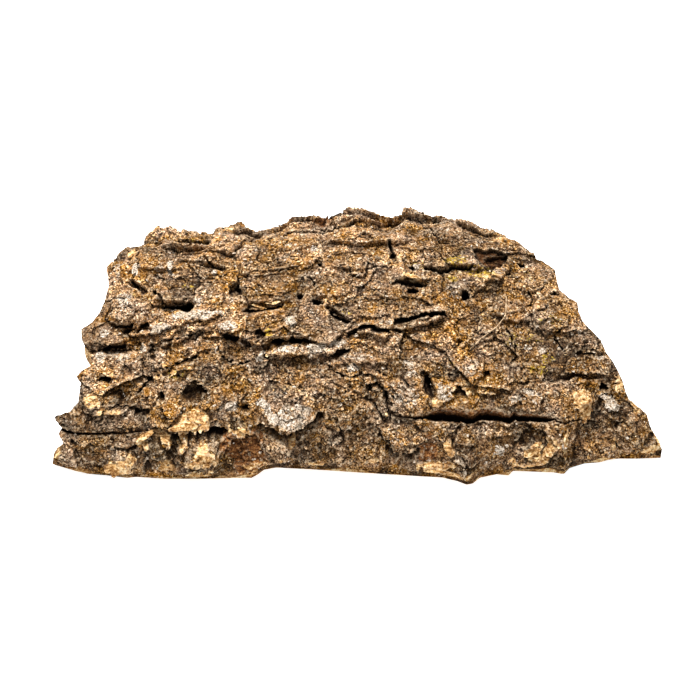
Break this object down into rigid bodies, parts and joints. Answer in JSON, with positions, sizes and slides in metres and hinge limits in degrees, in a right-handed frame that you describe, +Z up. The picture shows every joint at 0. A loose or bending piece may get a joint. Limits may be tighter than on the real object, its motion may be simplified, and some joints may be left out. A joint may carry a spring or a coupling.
{
  "type": "cork bark slab",
  "caption": "Arched slab of raw cork oak bark, hollow side down, with deep furrows, lifted bark plates and broken ends.",
  "frame": {"origin": "centre of the bounding box at the level it stands on", "axes": "+X along the slab, the grain of the bark; +Y across it, from the low torn rim to the far rim; +Z up, the outer bark's side"},
  "size_m": [0.4053, 0.2452, 0.0719],
  "materials": {
    "cork_bark": "rough weathered grey-brown bark, tan where the cork is broken"
  },
  "bodies": {
    "root": {"cork_bark_slab": "cork_bark"}
  },
  "joints": []
}
